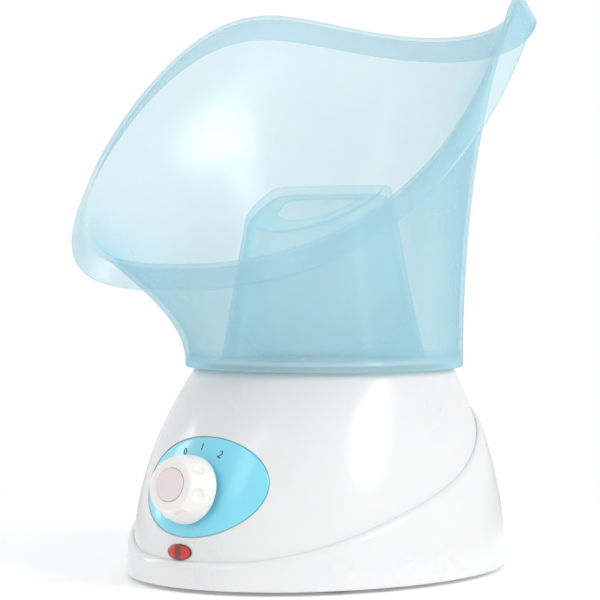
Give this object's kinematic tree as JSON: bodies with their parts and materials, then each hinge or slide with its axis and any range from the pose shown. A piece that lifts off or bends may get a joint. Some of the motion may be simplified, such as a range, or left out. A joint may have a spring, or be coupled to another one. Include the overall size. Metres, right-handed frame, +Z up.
{
  "type": "facial steamer",
  "caption": "Facial steamer: moulded base with rotary switch and heated water cup, lift-out steam funnel and lift-off translucent face mask with a rolled lip.",
  "frame": {"origin": "centre of the overall box at the underside of the rubber feet", "axes": "+Z up, control knob towards -Y, +X to the right of someone facing the knob"},
  "size_m": [0.2324, 0.2484, 0.2889],
  "materials": {
    "white_abs": "glossy injection-moulded ABS",
    "grey_rubber": "soft moulded rubber",
    "zinc_steel": "zinc-plated steel",
    "spun_aluminium": "satin pressed aluminium",
    "silicone": "translucent silicone rubber",
    "heater_ceramic": "fired ceramic heater",
    "mica": "mica insulation",
    "black_phenolic": "moulded phenolic",
    "cyan_abs": "glossy light blue ABS",
    "brass": "stamped brass",
    "red_lens": "clear red polycarbonate",
    "lamp_glass": "clear glass",
    "white_nylon": "natural nylon",
    "brown_pvc": "PVC insulation",
    "blue_pvc": "PVC insulation",
    "ivory_abs": "glossy warm white ABS",
    "pink_cap": "satin pale pink ABS",
    "blue_san": "clear pale blue SAN",
    "cyan_san": "clear cyan SAN"
  },
  "bodies": {
    "base": {"upper_housing": "white_abs", "skirt_shell": "white_abs", "bottom_plate": "white_abs", "cord_gland": "white_abs", "rubber_feet": "grey_rubber", "housing_screws": "zinc_steel", "water_cup": "spun_aluminium", "cup_gasket": "silicone", "cup_clamp_ring": "zinc_steel", "cup_screws": "zinc_steel", "ptc_heater": "heater_ceramic", "mica_sheet": "mica", "heater_clamp": "zinc_steel", "heater_screws": "zinc_steel", "thermostat": "black_phenolic", "thermal_fuse": "zinc_steel", "escutcheon": "cyan_abs", "switch_housing": "black_phenolic", "switch_nut": "zinc_steel", "switch_terminals": "brass", "lamp_lens": "red_lens", "neon_lamp": "lamp_glass", "lamp_clip": "zinc_steel", "terminal_block": "white_nylon", "terminal_screws": "brass", "live_leads": "brown_pvc", "neutral_lead": "blue_pvc"},
    "knob": {"control_knob": "ivory_abs", "knob_cap": "pink_cap", "switch_shaft": "zinc_steel", "switch_rotor": "black_phenolic"},
    "mask": {"face_mask": "blue_san"},
    "funnel": {"steam_funnel": "cyan_san"}
  },
  "joints": [
    {"name": "knob_turn", "type": "hinge", "parent": "base", "child": "knob", "pos_m": [0, -0.1029, 0.0473], "axis": [0, 0.9681, -0.2504], "range_deg": [0, 70]},
    {"name": "mask_lift", "type": "slide", "parent": "base", "child": "mask", "axis": [0, 0, 1], "range_m": [0, 0.1]},
    {"name": "funnel_lift", "type": "slide", "parent": "base", "child": "funnel", "axis": [0, 0, 1], "range_m": [0, 0.2]}
  ]
}
